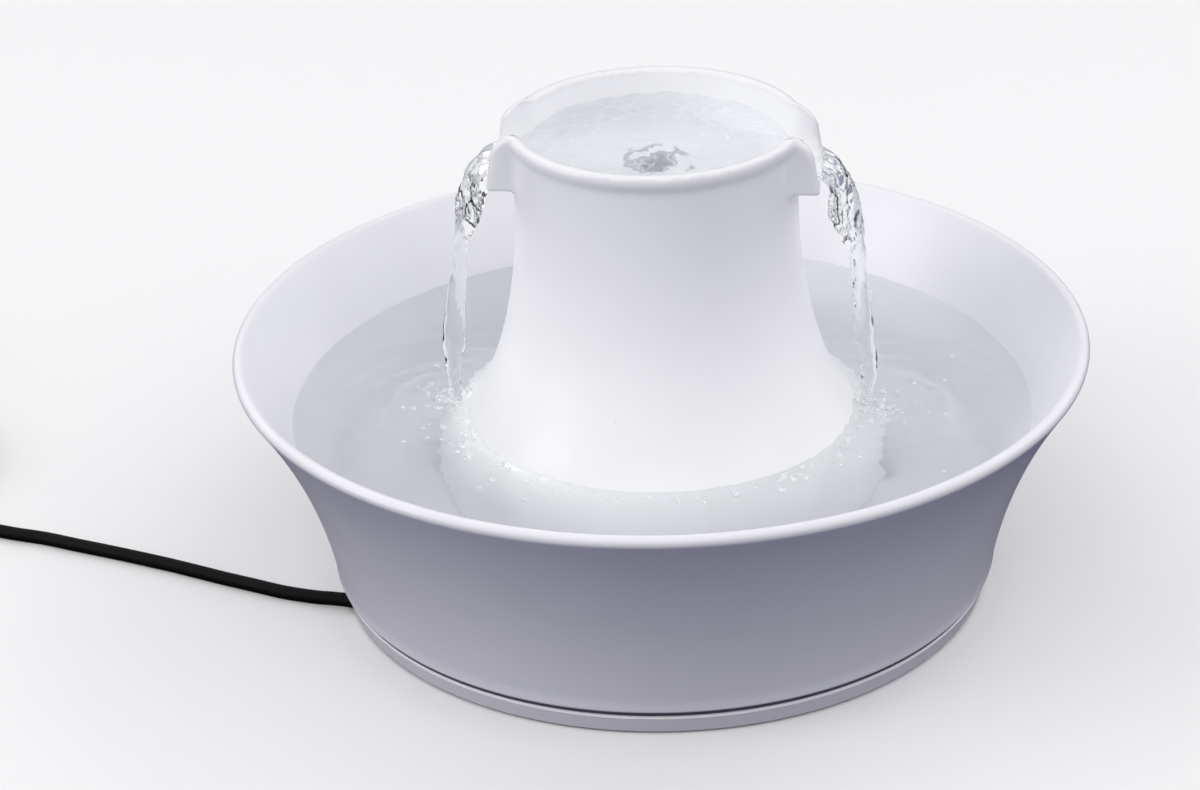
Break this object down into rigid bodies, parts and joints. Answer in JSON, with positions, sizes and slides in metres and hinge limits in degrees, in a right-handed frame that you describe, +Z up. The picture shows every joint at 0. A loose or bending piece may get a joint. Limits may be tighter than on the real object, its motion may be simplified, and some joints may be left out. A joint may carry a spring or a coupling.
{
  "type": "pet water fountain",
  "caption": "White ceramic pet fountain: a flared drinking bowl round a bell-shaped tower whose top dish pours water from two side spouts, with a pump, filter, lead and wall adapter.",
  "frame": {"origin": "on the floor that the rubber feet stand on, under the centre of the bowl", "axes": "+Z up; the two spouts point along +X and -X; the front is towards -Y, and the power lead leaves the base towards -X"},
  "size_m": [0.495, 0.304, 0.1733],
  "materials": {
    "bowl_glaze": "clear gloss glaze over white ceramic",
    "tower_glaze": "clear gloss glaze over white ceramic",
    "tray_plastic": "white moulded plastic",
    "feet_rubber": "soft grey rubber",
    "seal_rubber": "grey silicone rubber",
    "riser_plastic": "milky moulded tube",
    "chamber_plastic": "light grey moulded plastic",
    "pump_plastic": "black moulded plastic, fine texture",
    "slider_plastic": "blue moulded plastic",
    "impeller_plastic": "white moulded plastic",
    "laminated_steel": "stacked laminations",
    "copper_wire": "enamelled copper wire",
    "resin": "poured black resin",
    "shaft_ceramic": "ground ceramic",
    "ferrite": "pressed ferrite",
    "filter_foam": "open-cell foam",
    "filter_fleece": "white fleece over carbon grains",
    "cord_pvc": "black flexible plastic sheath",
    "cord_rubber": "black moulded rubber",
    "tie_plastic": "black tie strip",
    "adapter_plastic": "black moulded plastic, fine texture",
    "blade_metal": "nickel-plated brass"
  },
  "bodies": {
    "base": {"bowl": "bowl_glaze", "base_tray": "tray_plastic", "rubber_feet": "feet_rubber", "floor_bung": "seal_rubber", "riser_tube": "riser_plastic", "pump_chamber": "chamber_plastic", "suction_cups": "feet_rubber", "pump_body": "pump_plastic", "stator_core": "laminated_steel", "stator_coil": "copper_wire", "motor_potting": "resin", "rotor_shaft": "shaft_ceramic", "rear_bush": "seal_rubber", "lead_gland": "cord_rubber", "pump_lead": "cord_pvc", "channel_lead": "cord_pvc", "power_cord": "cord_pvc", "cord_coil": "cord_pvc", "cord_tail": "cord_pvc", "cord_tie": "tie_plastic", "adapter_body": "adapter_plastic", "adapter_cover": "adapter_plastic", "adapter_blades": "blade_metal", "adapter_relief": "cord_rubber", "adapter_core": "laminated_steel", "adapter_winding": "copper_wire"},
    "seal": {"outlet_seal": "seal_rubber"},
    "tower": {"tower": "tower_glaze"},
    "rotor": {"rotor_magnet": "ferrite", "impeller": "impeller_plastic"},
    "pump_cover": {"volute_cover": "pump_plastic", "front_bush": "seal_rubber"},
    "slider": {"flow_slider": "slider_plastic"},
    "filter": {"filter_basket": "chamber_plastic", "foam_disc": "filter_foam", "carbon_disc": "filter_fleece"},
    "filter_lid": {"filter_lid": "chamber_plastic"}
  },
  "joints": [
    {"name": "tower_turn", "type": "hinge", "parent": "base", "child": "seal", "pos_m": [0, 0, 0.1], "axis": [0, 0, 1], "continuous": true},
    {"name": "tower_lift", "type": "slide", "parent": "seal", "child": "tower", "axis": [0, 0, 1], "range_m": [0, 0.2]},
    {"name": "filter_lift", "type": "slide", "parent": "base", "child": "filter", "axis": [0, 0, 1], "range_m": [0, 0.03]},
    {"name": "filter_lid_lift", "type": "slide", "parent": "filter", "child": "filter_lid", "axis": [0, 0, 1], "range_m": [0, 0.012]},
    {"name": "impeller_spin", "type": "hinge", "parent": "base", "child": "rotor", "pos_m": [0, 0, 0.0355], "axis": [1, 0, 0], "continuous": true},
    {"name": "pump_cover_pull", "type": "slide", "parent": "base", "child": "pump_cover", "axis": [1, 0, 0], "range_m": [0, 0.012]},
    {"name": "flow_slide", "type": "slide", "parent": "pump_cover", "child": "slider", "axis": [0, 1, 0], "range_m": [0, 0.004]}
  ]
}
